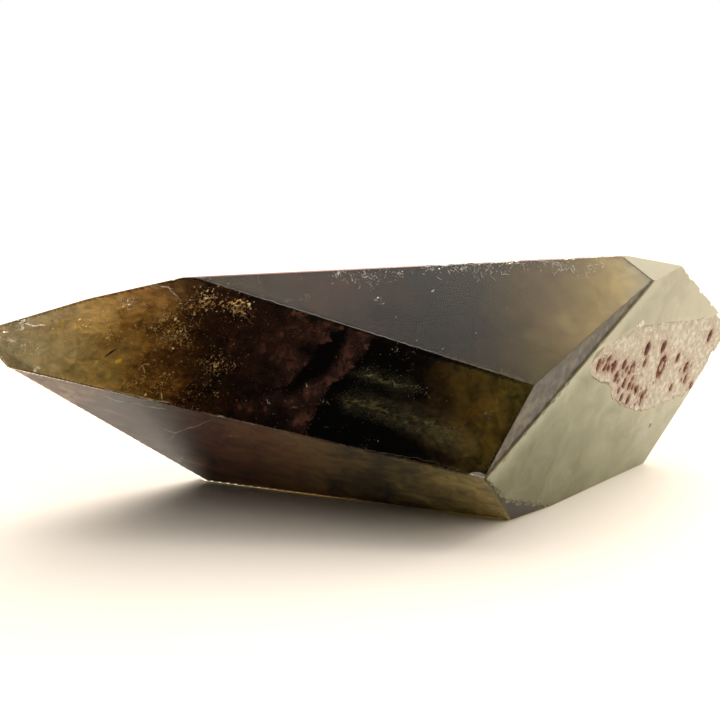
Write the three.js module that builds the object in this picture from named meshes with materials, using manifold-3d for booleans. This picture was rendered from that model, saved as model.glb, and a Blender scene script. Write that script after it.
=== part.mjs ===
// A smoky quartz point with a pale end, lying on one of its long faces.
// It grew as one crystal, so it is one solid: flat facets, worn edges, chips, and one
// natural pitted patch on the pale end face.
// Millimetres. +X runs from the point to the pale end, +Y to the back, +Z up.
import * as THREE from 'three';
import { mergeVertices } from 'three/addons/utils/BufferGeometryUtils.js';
import Module from 'manifold-3d';

const wasm = await Module();
wasm.setup();

// Corners of the crystal, the driving sizes. The crystal is 90 mm long, 35 deep and 29 high.
const CORNER = {
  tip: [-47.2, -9.8, 22.2],
  chin: [-43.2, -11.3, 18.2],
  brow: [-34.1, -9.1, 26.0],
  ridgeStart: [-23.6, -8.8, 28.3],
  ridgeEnd: [26.3, 0.4, 29.1],
  topCorner: [30.1, -2.1, 26.3],
  rimStart: [34.4, 1.9, 27.4],
  rimEnd: [45.6, 16.9, 16.2],
  cheek: [14.9, -14.8, 17.3],
  knee: [9.4, -17.9, 7.8],
  bruise: [11.9, -14.2, 4.0],
  toe: [13.0, -10.7, 0],
  toeSide: [18.3, -6.4, 0],
  heelSide: [33.0, 8.8, 0],
  ball: [-23.6, 1.9, 0],
  backRidge: [27.5, 8.8, 23.3],
  backMiddle: [5.2, 17.6, 9.2],
  backFoot: [-4.6, 13.4, 0],
  neck: [-33.7, -3.1, 20.2],
};

// A point well inside the crystal. Every facet faces away from it.
const HEART = [4.0, 0, 13.0];

// Each facet is the plane through three corners.
const FACETS = {
  base: ['ball', 'toe', 'heelSide'],
  lowerFront: ['ball', 'toe', 'knee'],
  front: ['chin', 'knee', 'cheek'],
  top: ['ridgeStart', 'cheek', 'topCorner'],
  chamfer: ['cheek', 'knee', 'topCorner'],
  upperEnd: ['topCorner', 'rimStart', 'ridgeEnd'],
  end: ['toeSide', 'heelSide', 'topCorner'],
  bruiseLeft: ['knee', 'bruise', 'toe'],
  bruiseRight: ['bruise', 'toeSide', 'toe'],
  ridgeBack: ['ridgeStart', 'ridgeEnd', 'backRidge'],
  rimBack: ['ridgeEnd', 'rimStart', 'rimEnd'],
  back: ['brow', 'ridgeStart', 'backMiddle'],
  lowerBack: ['heelSide', 'rimEnd', 'backFoot'],
  backPoint: ['tip', 'backMiddle', 'backFoot'],
  tipBack: ['tip', 'brow', 'neck'],
  tipUnder: ['tip', 'chin', 'ball'],
};

// Worn edges: a corner on the edge, the two facets that meet there, and the depth of the wear.
const WORN_EDGES = [
  { at: 'ridgeStart', between: ['top', 'ridgeBack'], depth: 0.22 },
  { at: 'brow', between: ['front', 'back'], depth: 0.2 },
  { at: 'tip', between: ['front', 'tipBack'], depth: 0.2 },
  { at: 'chin', between: ['front', 'lowerFront'], depth: 0.1 },
  { at: 'rimStart', between: ['end', 'rimBack'], depth: 0.15 },
  { at: 'heelSide', between: ['end', 'lowerBack'], depth: 0.15 },
  { at: 'ball', between: ['lowerFront', 'base'], depth: 0.08 },
  { at: 'rimEnd', between: ['back', 'lowerBack'], depth: 0.15 },
  { at: 'backMiddle', between: ['back', 'backPoint'], depth: 0.15 },
];

// Chipped edges: the two corners, how many chips, the stretch of the edge that they lie on,
// and their usual length and depth.
const CHIPPED_EDGES = [
  { from: 'bruise', to: 'toeSide', count: 7, start: 0.05, stop: 0.95, length: 1.2, depth: 0.16 },
  { from: 'knee', to: 'bruise', count: 5, start: 0.05, stop: 0.95, length: 1.1, depth: 0.16 },
  { from: 'knee', to: 'topCorner', count: 9, start: 0.02, stop: 0.5, length: 1.1, depth: 0.14 },
  { from: 'knee', to: 'topCorner', count: 5, start: 0.55, stop: 0.97, length: 0.8, depth: 0.1 },
  { from: 'ridgeStart', to: 'ridgeEnd', count: 9, start: 0.5, stop: 1.0, length: 1.8, depth: 0.3 },
  { from: 'ridgeStart', to: 'ridgeEnd', count: 4, start: 0.02, stop: 0.45, length: 1.1, depth: 0.16 },
  { from: 'brow', to: 'ridgeStart', count: 4, start: 0.1, stop: 0.95, length: 1.2, depth: 0.2 },
  { from: 'rimStart', to: 'rimEnd', count: 6, start: 0.03, stop: 0.6, length: 1.7, depth: 0.3 },
  { from: 'heelSide', to: 'rimEnd', count: 3, start: 0.5, stop: 0.85, length: 1.6, depth: 0.25 },
  { from: 'chin', to: 'knee', count: 8, start: 0.06, stop: 0.6, length: 1.1, depth: 0.16 },
  { from: 'chin', to: 'knee', count: 1, start: 0.97, stop: 0.985, length: 2.6, depth: 0.35 },
  { from: 'chin', to: 'ball', count: 3, start: 0.6, stop: 0.95, length: 1.4, depth: 0.2 },
];
const CHIP_LENGTH_SPREAD = 0.5;
const CHIP_DEPTH_SPREAD = 0.55;
const CHIP_FLATNESS = 0.55;

// The blunt end of the point: a few flat breaks, as directions, and how far the outermost
// part is broken back.
const TIP_BREAKS = [
  { facing: [-1, -0.12, -0.1], back: 1.7 },
  { facing: [-1, 0.15, 0.75], back: 1.1 },
];

// The end face is a thin plate over the chamfer beside it, so its edge there is a low step.
const PLATE_STEP = 0.25;

// The pitted patch lies in the end face. Its outline is in the face's own frame: along the
// face from toeSide towards heelSide, then up the face.
const PATCH_OUTLINE = [
  [2.0, 19.7], [1.2, 18.0], [2.4, 16.4], [4.4, 15.3], [7.0, 14.4], [8.2, 12.6], [10.2, 11.1],
  [13.6, 9.6], [17.4, 8.4], [22.5, 7.0], [27.0, 6.2], [36.0, 12.0], [36.0, 20.0],
  [28.0, 19.3], [22.8, 19.9], [18.8, 20.5], [13.9, 21.0], [10.4, 21.3], [7.4, 20.8], [4.8, 20.4],
];
const PATCH_TOP_DEPTH = 0.55;
const PATCH_SLOPE_DEGREES = 2.4;
const PATCH_HINGE_HEIGHT = 21.0;

// Pits in the patch: place along and up the face, and length. They lean a little from upright.
const PITS = [
  [3.8, 17.6, 1.5], [5.4, 16.9, 1.3], [7.4, 16.6, 1.7], [8.4, 15.1, 1.6], [9.7, 16.4, 1.5],
  [10.6, 13.8, 1.5], [12.0, 13.1, 1.3], [10.7, 11.9, 1.3], [12.4, 11.2, 1.5], [14.0, 12.1, 1.4],
  [15.8, 10.9, 1.4], [14.5, 17.5, 2.0], [18.5, 17.0, 1.9], [22.9, 14.6, 1.5], [22.9, 10.5, 1.3],
  [25.8, 12.7, 1.8], [26.4, 10.9, 1.4], [28.4, 9.6, 1.3], [30.5, 16.2, 1.9], [32.3, 12.9, 1.8],
  [14.6, 15.6, 1.3], [19.9, 5.9, 1.1],
];
// Small pits crowd together in places: the middle of the crowd, how wide and high it spreads,
// how many there are, and their least and greatest length.
const PIT_CROWDS = [
  { along: 6.0, up: 17.2, wide: 2.6, high: 1.1, count: 9, least: 0.5, most: 1.0 },
  { along: 10.8, up: 14.0, wide: 2.6, high: 2.4, count: 18, least: 0.5, most: 1.1 },
  { along: 14.6, up: 11.2, wide: 2.8, high: 1.4, count: 9, least: 0.5, most: 0.9 },
  { along: 25.8, up: 12.6, wide: 1.8, high: 2.2, count: 6, least: 0.5, most: 0.9 },
];
const PIT_WIDTH_SHARE = 0.55;
const PIT_DEPTH_SHARE = 0.42;
const PIT_LEAN_DEGREES = -16;
// One long pit is a ring: a groove with its middle left standing.
const RING_PIT = { along: 19.1, up: 14.2, length: 3.4, depth: 0.7, middle: 0.42 };

const BLOCK = 140;
const COLOUR = 0x4a4432;

// Repeatable random numbers from 0 to 1.
function randomSource(seed) {
  let state = seed;
  return () => {
    state = (state * 1664525 + 1013904223) % 4294967296;
    return state / 4294967296;
  };
}

function corner(name) {
  return new THREE.Vector3(...CORNER[name]);
}

// The unit vector that a facet faces along.
function facing(name) {
  const [a, b, c] = FACETS[name].map(corner);
  const normal = b.clone().sub(a).cross(c.clone().sub(a)).normalize();
  const outward = a.clone().sub(new THREE.Vector3(...HEART));
  return normal.dot(outward) < 0 ? normal.negate() : normal;
}

// A closed solid from a three.js geometry.
function solid(geometry) {
  const bare = geometry.clone();
  bare.deleteAttribute('normal');
  bare.deleteAttribute('uv');
  const merged = mergeVertices(bare, 1e-5);
  return new wasm.Manifold(new wasm.Mesh({
    numProp: 3,
    vertProperties: new Float32Array(merged.attributes.position.array),
    triVerts: new Uint32Array(merged.index.array),
  }));
}

// A large block on the outer side of the plane through a point.
function blockBeyond(point, normal) {
  const block = new THREE.BoxGeometry(BLOCK, BLOCK, BLOCK);
  const turn = new THREE.Quaternion().setFromUnitVectors(new THREE.Vector3(0, 0, 1), normal);
  const centre = point.clone().addScaledVector(normal, BLOCK / 2);
  block.applyMatrix4(new THREE.Matrix4().compose(centre, turn, new THREE.Vector3(1, 1, 1)));
  return solid(block);
}

// The crystal with flat facets and sharp edges.
function facetedBody() {
  let body = solid(new THREE.BoxGeometry(BLOCK, BLOCK, BLOCK));
  for (const name of Object.keys(FACETS)) {
    body = body.subtract(blockBeyond(corner(FACETS[name][0]), facing(name)));
  }
  return body;
}

// Narrow flats along the edges that are rubbed.
function wearEdges(body) {
  let worn = body;
  for (const { at, between: [first, second], depth } of WORN_EDGES) {
    const normal = facing(first).add(facing(second)).normalize();
    const point = corner(at).addScaledVector(normal, -depth);
    worn = worn.subtract(blockBeyond(point, normal));
  }
  return worn;
}

// Flat breaks that blunt the point.
function breakTip(body) {
  let broken = body;
  for (const { facing: direction, back } of TIP_BREAKS) {
    const normal = new THREE.Vector3(...direction).normalize();
    const point = corner('tip').addScaledVector(normal, -back);
    broken = broken.subtract(blockBeyond(point, normal));
  }
  return broken;
}

// Lowers the chamfer beside the end face by a step.
function stepBeside(body) {
  const out = facing('chamfer');
  const edge = corner('topCorner').sub(corner('knee')).normalize();
  const aside = out.clone().cross(edge).normalize();
  if (aside.dot(corner('cheek').sub(corner('knee'))) < 0) {
    aside.negate();
  }
  const above = blockBeyond(corner('knee').addScaledVector(out, -PLATE_STEP), out);
  return body.subtract(above.intersect(blockBeyond(corner('knee'), aside)));
}

// An ellipsoid with few flat sides, turned so that its long axis lies along a direction.
function scoop(centre, along, outward, length, width, height) {
  const across = outward.clone().cross(along).normalize();
  const up = along.clone().cross(across).normalize();
  const turn = new THREE.Matrix4().makeBasis(along.clone().normalize(), across, up);
  const size = new THREE.Matrix4().makeScale(length / 2, width / 2, height / 2);
  const place = new THREE.Matrix4().makeTranslation(centre.x, centre.y, centre.z);
  const shape = new THREE.IcosahedronGeometry(1, 1);
  shape.applyMatrix4(place.multiply(turn).multiply(size));
  return solid(shape);
}

// Shell-shaped chips bitten out of the edges.
function chipEdges(body) {
  const random = randomSource(7);
  const vary = (share) => 1 + share * (2 * random() - 1);
  const bites = [];
  for (const { from, to, count, start, stop, length, depth } of CHIPPED_EDGES) {
    const edge = corner(to).sub(corner(from));
    const along = edge.clone().normalize();
    for (let i = 0; i < count; i += 1) {
      const share = start + (stop - start) * (i + 0.15 + 0.7 * random()) / count;
      const point = corner(from).addScaledVector(edge, share);
      const outward = point.clone().sub(new THREE.Vector3(...HEART));
      outward.addScaledVector(along, -outward.dot(along)).normalize();
      outward.applyAxisAngle(along, 0.5 * (random() - 0.5));
      const chipLength = length * vary(CHIP_LENGTH_SPREAD);
      const chipDepth = depth * vary(CHIP_DEPTH_SPREAD);
      const height = chipLength * CHIP_FLATNESS;
      const centre = point.addScaledVector(outward, height / 2 - chipDepth);
      bites.push(scoop(centre, along, outward, chipLength, chipLength * 0.8, height));
    }
  }
  return body.subtract(wasm.Manifold.union(bites));
}

// The end face's own frame: along it, up it, and out of it, from toeSide.
function endFaceFrame() {
  const out = facing('end');
  const along = corner('heelSide').sub(corner('toeSide')).normalize();
  const up = out.clone().cross(along).normalize();
  const place = (u, v, lift) => corner('toeSide').addScaledVector(along, u)
    .addScaledVector(up, v).addScaledVector(out, lift);
  return { along, up, out, place };
}

// The sunken floor of the pitted patch: deepest below its upper ledge, fading out below.
function patchRecess() {
  const { along, up, out } = endFaceFrame();
  const outline = new THREE.Shape(PATCH_OUTLINE.map(([u, v]) => new THREE.Vector2(u, v)));
  const slab = new THREE.ExtrudeGeometry(outline, { depth: 4, bevelEnabled: false, steps: 1 });
  slab.translate(0, -PATCH_HINGE_HEIGHT, 0);
  slab.rotateX(THREE.MathUtils.degToRad(-PATCH_SLOPE_DEGREES));
  slab.translate(0, PATCH_HINGE_HEIGHT, -PATCH_TOP_DEPTH);
  const toFace = new THREE.Matrix4().makeBasis(along, up, out);
  toFace.setPosition(corner('toeSide'));
  slab.applyMatrix4(toFace);
  return solid(slab);
}

// How deep the floor of the patch lies below the end face at a height.
function floorDepth(v) {
  const drop = (PATCH_HINGE_HEIGHT - v) * Math.tan(THREE.MathUtils.degToRad(PATCH_SLOPE_DEGREES));
  return Math.max(0, PATCH_TOP_DEPTH - drop);
}

// A hollow in the floor of the patch, or with a depth of its own the middle of a ring.
function pit(u, v, length, depth = length * PIT_DEPTH_SHARE) {
  const { up, out, place } = endFaceFrame();
  const lean = up.clone().applyAxisAngle(out, THREE.MathUtils.degToRad(PIT_LEAN_DEGREES));
  const centre = place(u, v, -floorDepth(v));
  return scoop(centre, lean, out, length, length * PIT_WIDTH_SHARE, 2 * depth);
}

function crowdedPits() {
  const random = randomSource(3);
  const made = [];
  for (const { along, up, wide, high, count, least, most } of PIT_CROWDS) {
    for (let i = 0; i < count; i += 1) {
      const turn = 2 * Math.PI * random();
      const reach = Math.sqrt(random());
      const u = along + wide * reach * Math.cos(turn);
      const v = up + high * reach * Math.sin(turn);
      made.push(pit(u, v, least + (most - least) * random()));
    }
  }
  return made;
}

function pits() {
  const { along, up, length, middle, depth } = RING_PIT;
  const ring = pit(along, up, length, depth).subtract(pit(along, up, length * middle, 2 * depth));
  const single = PITS.map(([u, v, size]) => pit(u, v, size));
  return wasm.Manifold.union([ring, ...single, ...crowdedPits()]);
}

function crystalGeometry() {
  const body = chipEdges(stepBeside(breakTip(wearEdges(facetedBody()))))
    .subtract(patchRecess())
    .subtract(pits());
  const { vertProperties, triVerts } = body.getMesh();
  const geometry = new THREE.BufferGeometry();
  geometry.setAttribute('position', new THREE.BufferAttribute(vertProperties, 3));
  geometry.setIndex(new THREE.BufferAttribute(triVerts, 1));
  return geometry;
}

// Moves the crystal so that the origin is under the middle of its box, on its base.
function centreOnBase(geometry) {
  geometry.computeBoundingBox();
  const { min, max } = geometry.boundingBox;
  geometry.translate(-(min.x + max.x) / 2, -(min.y + max.y) / 2, -min.z);
  return geometry;
}

function quartzMaterial() {
  return new THREE.MeshStandardMaterial({ color: COLOUR, roughness: 0.12, metalness: 0 });
}

const crystal = new THREE.Mesh(centreOnBase(crystalGeometry()), quartzMaterial());
crystal.name = 'crystal_point';

const model = new THREE.Group();
model.add(crystal);

export default model;
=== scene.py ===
"""Looks for a smoky quartz point with a pale, pitted end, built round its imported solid.

The crystal's outside is a copy of the solid. Inside it lie bodies that only absorb light,
one for each growth zone, and thin clouds, veils, flakes and cracks. The scene is in metres, in
the solid's frame, and lengths in this script are in millimetres where nothing else is said.
"""

import math
import random

import bmesh
import bpy
import numpy as np
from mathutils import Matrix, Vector, noise
from mathutils.bvhtree import BVHTree


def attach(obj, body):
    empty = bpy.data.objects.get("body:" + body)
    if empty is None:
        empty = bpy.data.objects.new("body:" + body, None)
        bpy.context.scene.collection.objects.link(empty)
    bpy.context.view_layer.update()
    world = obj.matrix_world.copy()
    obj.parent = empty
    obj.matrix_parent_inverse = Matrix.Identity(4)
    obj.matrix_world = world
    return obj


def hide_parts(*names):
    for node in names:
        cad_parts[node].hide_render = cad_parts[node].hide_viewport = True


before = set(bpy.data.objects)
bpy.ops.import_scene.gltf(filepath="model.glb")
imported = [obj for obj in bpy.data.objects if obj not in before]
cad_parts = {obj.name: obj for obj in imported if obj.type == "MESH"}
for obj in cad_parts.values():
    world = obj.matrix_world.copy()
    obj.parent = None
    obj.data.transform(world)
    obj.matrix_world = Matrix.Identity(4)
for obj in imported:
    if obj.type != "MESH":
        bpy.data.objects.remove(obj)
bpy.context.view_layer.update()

MM = 0.001
NODE = "crystal_point"
QUARTZ, SKIN, INSIDE = "smoky_quartz", "pitted_skin", "inclusions"
IOR = 1.544

# The camera stands in front, in millimetres, and looks along +Y and down.
CAMERA_PLACE = np.array([-3.97, -139.16, 53.7])
CAMERA_DOWN = 15
PHOTO_SIDE = 720
FOCAL_PIXELS = 1200
SENSOR = 36
CLIP_START = 0.01  # metres

# Which way each facet of the solid faces: azimuth and elevation in degrees.
FACING = {
    "base": (0, -90),
    "front": (-93.1, 19.7),
    "lower_front": (-109, -45.6),
    "top": (-80.5, 48),
    "chamfer": (-45.7, -9.7),
    "bruise": (-51, -26.9),
    "bruise_left": (-75.5, -37.9),
    "upper_end": (-62.5, 55),
    "end": (-44, -11.8),
    "ridge_back": (101.7, 54),
    "rim_back": (83, 55.4),
    "back": (104, 44.3),
    "lower_back": (83, -30.6),
    "back_point": (116.7, 4.1),
    "tip_back": (109.1, 43.7),
    "tip_under": (176, -45.7),
}
WELD = 2e-6  # metres
LEAST_FACE = 0.5  # square millimetres
NEAR_WAY = 0.9998  # how near, as a cosine, a facet faces to the angles above
SAME_WAY = 0.9999  # cosine of the angle within which two faces lie on one plane
SAME_PLANE = 0.012
NEVER = 1e-6  # keeps a ray that runs along a facet from dividing by nothing

DEEPEST = 0.55  # the share of the way to the far side that things inside may lie at
PIXEL = 0.117  # millimetres that a pixel of the photograph spans at the crystal
ROUGHNESS, FINER = 0.9, 2.0  # of noise: how weak and how much finer each further octave is
DENSITY_ROOM = 1.05

# The middle of the crystal, from which every facet faces away.
HEART = np.array([4.0, 0.0, 13.0])


# Planes, rays and places.


def direction(azimuth, elevation):
    a, e = math.radians(azimuth), math.radians(elevation)
    return np.array([math.cos(e) * math.cos(a), math.cos(e) * math.sin(a), math.sin(e)])


def welded_solid():
    """The solid with each corner held once."""
    bm = bmesh.new()
    bm.from_mesh(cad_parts[NODE].data)
    bmesh.ops.remove_doubles(bm, verts=bm.verts, dist=WELD)
    return bm


def facet_planes():
    """Each facet's plane, (normal, distance) in millimetres, measured on the solid."""
    groups = []
    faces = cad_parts[NODE].data.polygons
    for face in sorted(faces, key=lambda f: -f.area):
        if face.area < LEAST_FACE * MM**2:
            break
        normal = np.array(face.normal)
        distance = normal @ np.array(face.center) / MM
        for group in groups:
            if group[0] @ normal > SAME_WAY and abs(group[1] - distance) < SAME_PLANE:
                group[2] += face.area / MM**2
                break
        else:
            groups.append([normal, distance, face.area / MM**2])
    planes = {}
    for name, angles in FACING.items():
        alike = [g for g in groups if g[0] @ direction(*angles) > NEAR_WAY]
        normal, distance, _ = max(alike, key=lambda g: g[2])
        planes[name] = (normal, distance)
    return planes


PLANE = facet_planes()


def plane_arrays(left_out=None):
    """The facets' normals and distances, but for one that is left out."""
    planes = [plane for name, plane in PLANE.items() if name != left_out]
    return [np.array(values) for values in zip(*planes)]


def meet(*names):
    """The point where three facets meet, in millimetres."""
    return np.linalg.solve([PLANE[n][0] for n in names], [PLANE[n][1] for n in names])


def photo_ray(px, py):
    """The directions that pixels of the photograph look along."""
    down = math.radians(CAMERA_DOWN)
    forward = np.array([0, math.cos(down), -math.sin(down)])
    right = np.array([1.0, 0, 0])
    up = np.array([0, math.sin(down), math.cos(down)])
    across = ((np.asarray(px, float) - PHOTO_SIDE / 2) / FOCAL_PIXELS)[..., None]
    below = ((np.asarray(py, float) - PHOTO_SIDE / 2) / FOCAL_PIXELS)[..., None]
    ray = forward + across * right - below * up
    return ray / np.linalg.norm(ray, axis=-1, keepdims=True)


def on_facet(name, px, py):
    """Where pixels of the photograph lie on a facet, in millimetres."""
    normal, distance = PLANE[name]
    ray = photo_ray(px, py)
    reach = (distance - normal @ CAMERA_PLACE) / (ray @ normal)
    return CAMERA_PLACE + ray * reach[..., None]


def bent_ray(name, px, py):
    """The directions that pixels look along once inside a facet."""
    normal = PLANE[name][0]
    ray = photo_ray(px, py)
    cosine = -(ray @ normal)
    bent_cosine = np.sqrt(1 - (1 - cosine**2) / IOR**2)
    return ray / IOR + (cosine / IOR - bent_cosine)[..., None] * normal


def room_behind(name, px, py):
    """How far pixels look into the crystal through a facet, in millimetres."""
    start, bent = on_facet(name, px, py), bent_ray(name, px, py)
    facings, distances = plane_arrays(name)
    gain = np.maximum(bent @ facings.T, NEVER)
    return ((distances - start @ facings.T) / gain).min(-1)


def under(name, px, py, depth, beyond=0.0):
    """Places seen at pixels through a facet, so many millimetres along the bent rays, or most of
    the way to the far side where that is nearer, and then a little beyond."""
    depth = np.minimum(depth, DEEPEST * np.maximum(room_behind(name, px, py), 0)) + beyond
    return on_facet(name, px, py) + bent_ray(name, px, py) * depth[..., None]


def inside_outline(outline, px, py):
    """Which pixels lie in an outline of pixels."""
    found = np.zeros(np.shape(px), bool)
    for (ax, ay), (bx, by) in zip(outline, outline[1:] + outline[:1]):
        between = (ay > py) != (by > py)
        crossing = ax + (py - ay) * (bx - ax) / (by - ay) if by != ay else ax
        found ^= between & (px < crossing)
    return found


def well_inside(points, margin):
    """Which points lie inside every facet by a margin."""
    facings, distances = plane_arrays()
    return (points @ facings.T < distances - margin).all(-1)


def grain(points, size, octaves=4, seed=0.0):
    """Smooth noise of about -1 to 1 at points, with features of a size."""
    flat = np.reshape(points, (-1, np.shape(points)[-1])) / size + seed
    places = [Vector(p if len(p) == 3 else (*p, 0)) for p in flat]
    values = [noise.fractal(place, ROUGHNESS, FINER, octaves) for place in places]
    return np.reshape(values, np.shape(points)[:-1])


# Mesh and material helpers.


def place_in_scene(name, data):
    piece = bpy.data.objects.new(name, data)
    bpy.context.scene.collection.objects.link(piece)
    return piece


def show(name, mesh, slot, material=None):
    """Puts a mesh in the scene as a piece that rides on the crystal."""
    if material:
        mesh.materials.append(material)
    piece = place_in_scene(name, mesh)
    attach(piece, "root")
    return piece


def mesh_of(name, points, faces, smooth=False):
    """A closed mesh from points in millimetres, with its faces pointing out."""
    mesh = bpy.data.meshes.new(name)
    mesh.from_pydata((np.asarray(points) * MM).tolist(), [], faces)
    bm = bmesh.new()
    bm.from_mesh(mesh)
    bmesh.ops.recalc_face_normals(bm, faces=bm.faces)
    bm.to_mesh(mesh)
    bm.free()
    mesh.polygons.foreach_set("use_smooth", [smooth] * len(mesh.polygons))
    return mesh


def corners_of(keep):
    """Which points of a grid are corners of the cells that are kept."""
    rows, columns = keep.shape
    corners = np.zeros((rows + 1, columns + 1), bool)
    for i, j in np.ndindex(2, 2):
        corners[i:i + rows, j:j + columns] |= keep
    return corners


def at_corners(grid):
    """The values of a grid of points at the four corners of each cell."""
    return np.stack([grid[:-1, :-1], grid[1:, :-1], grid[:-1, 1:], grid[1:, 1:]])


def thick_cells(keep, top, bottom):
    """Points and faces of a closed sheet: the cells of a grid that are kept, between a top and
    a bottom grid of points."""
    corners = corners_of(keep)
    number = np.cumsum(corners).reshape(corners.shape) - 1
    count = int(corners.sum())
    points = np.concatenate([top[corners], bottom[corners]])
    faces = []
    padded = np.pad(keep, 1)
    for i, j in np.argwhere(keep):
        a, b, c, d = number[i, j], number[i, j + 1], number[i + 1, j + 1], number[i + 1, j]
        faces.append((a, b, c, d))
        faces.append((d + count, c + count, b + count, a + count))
        for first, second, open_side in (
            (a, b, not padded[i, j + 1]), (b, c, not padded[i + 1, j + 2]),
            (c, d, not padded[i + 2, j + 1]), (d, a, not padded[i + 1, j]),
        ):
            if open_side:
                faces.append((second, first, first + count, second + count))
    return points, [tuple(int(x) for x in face) for face in faces]


def store(mesh, name, grid, keep):
    """Gives a closed sheet of thick_cells a value at each point, from a grid of values."""
    attribute = mesh.attributes.new(name, "FLOAT", "POINT")
    values = np.tile(grid[corners_of(keep)], 2)
    attribute.data.foreach_set("value", values.astype(np.float32))


def new_material(name):
    """A material and its empty node tree."""
    material = bpy.data.materials.new(name)
    material.use_nodes = True
    material.node_tree.nodes.clear()
    return material, material.node_tree


def add(tree, kind, inputs=None, **settings):
    """A node with its settings, and its inputs as plain values or as sockets to link."""
    node = tree.nodes.new(kind)
    for key, value in settings.items():
        setattr(node, key, value)
    for key, value in (inputs or {}).items():
        if isinstance(value, bpy.types.NodeSocket):
            tree.links.new(value, node.inputs[key])
        else:
            node.inputs[key].default_value = value
    return node


def finish_material(material, surface=None, volume=None):
    tree = material.node_tree
    out = add(tree, "ShaderNodeOutputMaterial")
    if surface:
        tree.links.new(surface.outputs[0], out.inputs["Surface"])
    if volume:
        tree.links.new(volume.outputs[0], out.inputs["Volume"])
    return material


def linear(*screen):
    """A linear colour from screen values of 0 to 255."""
    share = [c / 255 for c in screen]
    return (*[c / 12.92 if c <= 0.04045 else ((c + 0.055) / 1.055) ** 2.4 for c in share], 1)


def absorption(tree, per_metre):
    """Takes so much a metre of red, green and blue. The density stands a little over the
    strongest of them."""
    density = max(per_metre) * DENSITY_ROOM
    kept = [1 - s / density for s in per_metre]
    return add(tree, "ShaderNodeVolumeAbsorption", {"Color": (*kept, 1), "Density": density})


def own_place(tree):
    """The place in the object's own space, in metres."""
    return add(tree, "ShaderNodeTexCoord").outputs["Object"]


def coordinate(tree, axis):
    return add(tree, "ShaderNodeSeparateXYZ", {"Vector": own_place(tree)}).outputs[axis]


def noise_node(tree, size, detail=4.0, distortion=0.0, stretch=None):
    """Noise over the object's own space with features of about a size in millimetres."""
    place = own_place(tree)
    if stretch:
        place = add(tree, "ShaderNodeMapping", {"Vector": place, "Scale": stretch}).outputs[0]
    return add(tree, "ShaderNodeTexNoise", {
        "Vector": place, "Scale": 1 / (size * MM), "Detail": detail, "Distortion": distortion,
    }).outputs["Fac"]


def ramp(tree, value, *stops):
    """Colours along a value. A stop is its position and the screen values of its colour."""
    node = add(tree, "ShaderNodeValToRGB", {"Fac": value})
    elements = node.color_ramp.elements
    while len(elements) < len(stops):
        elements.new(0.5)
    for element, (place, *screen) in zip(elements, stops):
        element.position = place
        element.color = linear(*screen)
    return node.outputs["Color"]


def mapped(tree, value, low, high, least=0.0, most=1.0, **settings):
    """A value's run from low to high, drawn out from least to most."""
    return add(tree, "ShaderNodeMapRange", {
        "Value": value, "From Min": low, "From Max": high, "To Min": least, "To Max": most,
    }, **settings).outputs["Result"]


def plus(tree, first, second):
    return add(tree, "ShaderNodeMath", {0: first, 1: second}, operation="ADD").outputs[0]


def times(tree, first, second):
    return add(tree, "ShaderNodeMath", {0: first, 1: second}, operation="MULTIPLY").outputs[0]


def mixed(tree, share, first, second, **settings):
    """The second colour laid over the first by a share."""
    return add(tree, "ShaderNodeMix", {"Factor": share, 6: first, 7: second},
               data_type="RGBA", **settings).outputs[2]


def mottled(name, size, stops, roughness, metallic=0.0):
    """An opaque material whose colour wanders through stops."""
    material, tree = new_material(name)
    shader = add(tree, "ShaderNodeBsdfPrincipled", {
        "Base Color": ramp(tree, noise_node(tree, size, detail=5, distortion=0.6), *stops),
        "Roughness": roughness, "Metallic": metallic, "IOR": 1.0 if metallic == 0 else 1.5,
    })
    return finish_material(material, shader)


# The noise in clouds: its size for the cloud's, its detail and distortion, and the noise values
# from which and to which it counts.
SHADE_NOISE = (1.0, 8.0, 0.7)
SPECK_NOISE, SPECK_SPAN = (0.45, 6.0, 1.0), (0.34, 0.62)
PATCH_NOISE, PATCH_SPAN = (0.6, 8.0, 1.0), (0.35, 0.65)


def haze_material(name, span, stops, size, wander=0.2, dense=None, stretch=None, through=0.7,
                  speck=0.5):
    """A soft cloud whose colour follows the crystal's length over a span in millimetres and
    wanders a little with noise. dense is how dense it is, least and most, where its sheet is, or
    None where nothing shows through. through is the share of light that comes from behind, and
    speck how dark its fine specks are."""
    material, tree = new_material(name)

    def pattern(share, detail, distortion):
        return noise_node(tree, size * share, detail, distortion, stretch)

    low, high = [place * MM for place in span]
    shift = times(tree, plus(tree, pattern(*SHADE_NOISE), -0.5), wander * 2)
    along = plus(tree, mapped(tree, coordinate(tree, "X"), low, high), shift)
    specks = mapped(tree, pattern(*SPECK_NOISE), *SPECK_SPAN, 1 - speck, 1)
    shade = mixed(tree, 1.0, ramp(tree, along, *stops), specks, blend_type="MULTIPLY")
    front = add(tree, "ShaderNodeBsdfDiffuse", {"Color": shade}).outputs[0]
    behind = add(tree, "ShaderNodeBsdfTranslucent", {"Color": shade}).outputs[0]
    cloud = add(tree, "ShaderNodeMixShader", {0: through, 1: front, 2: behind}).outputs[0]
    clear = add(tree, "ShaderNodeBsdfTransparent").outputs[0]
    far_side = add(tree, "ShaderNodeNewGeometry").outputs["Backfacing"]
    cloud = add(tree, "ShaderNodeMixShader", {0: far_side, 1: cloud, 2: clear})
    if dense is None:
        return finish_material(material, cloud)
    patches = mapped(tree, pattern(*PATCH_NOISE), *PATCH_SPAN, *dense)
    cover = add(tree, "ShaderNodeAttribute", attribute_name="cover").outputs["Fac"]
    return finish_material(material, add(tree, "ShaderNodeMixShader", {
        0: times(tree, patches, cover), 1: clear, 2: cloud.outputs[0]}))


# The crystal's outside.

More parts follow.
